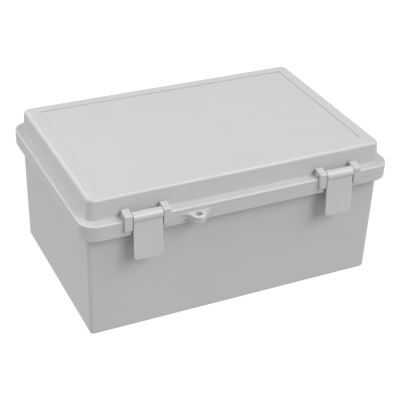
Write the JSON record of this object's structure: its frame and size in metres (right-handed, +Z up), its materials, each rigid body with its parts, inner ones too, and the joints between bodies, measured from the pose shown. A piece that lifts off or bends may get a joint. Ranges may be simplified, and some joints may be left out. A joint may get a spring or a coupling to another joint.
{
  "type": "hinged polycarbonate enclosure",
  "caption": "Light grey rectangular plastic enclosure with a hinged raised lid, rim flange, front snap latches, padlock eye, lid seal and inner mounting panel.",
  "frame": {"origin": "centre of the flat underside, midway between the side walls and between the front and back walls", "axes": "+X along the long side to the right as seen from the latches, +Y from the latch side towards the hinge side, +Z up from the underside to the lid top"},
  "size_m": [0.28, 0.2105, 0.13],
  "materials": {
    "base_plastic": "moulded polycarbonate, light grey, satin",
    "lid_plastic": "moulded polycarbonate, light grey, satin",
    "latch_plastic": "moulded polycarbonate, light grey, satin",
    "seal": "foamed seal, matt black",
    "stainless": "drawn stainless pin",
    "panel_steel": "galvanised sheet",
    "screw_steel": "zinc plated",
    "brass": "turned brass"
  },
  "bodies": {
    "base": {"base_shell": "base_plastic", "hinge_pin_left": "stainless", "hinge_pin_right": "stainless", "mounting_panel": "panel_steel", "panel_screws": "screw_steel", "panel_inserts": "brass", "foot_inserts": "brass"},
    "lid": {"lid_shell": "lid_plastic", "lid_seal": "seal", "latch_pin_left": "stainless", "latch_pin_right": "stainless"},
    "left_latch": {"latch_left": "latch_plastic"},
    "right_latch": {"latch_right": "latch_plastic"}
  },
  "joints": [
    {"name": "lid_hinge", "type": "hinge", "parent": "base", "child": "lid", "pos_m": [0, 0.1, 0.1045], "axis": [-1, 0, 0], "range_deg": [0, 110]},
    {"name": "left_latch_pivot", "type": "hinge", "parent": "lid", "child": "left_latch", "pos_m": [-0.0872, -0.0942, 0.1128], "axis": [-1, 0, 0], "range_deg": [-8, 150]},
    {"name": "right_latch_pivot", "type": "hinge", "parent": "lid", "child": "right_latch", "pos_m": [0.0872, -0.0942, 0.1128], "axis": [-1, 0, 0], "range_deg": [-8, 150]}
  ]
}
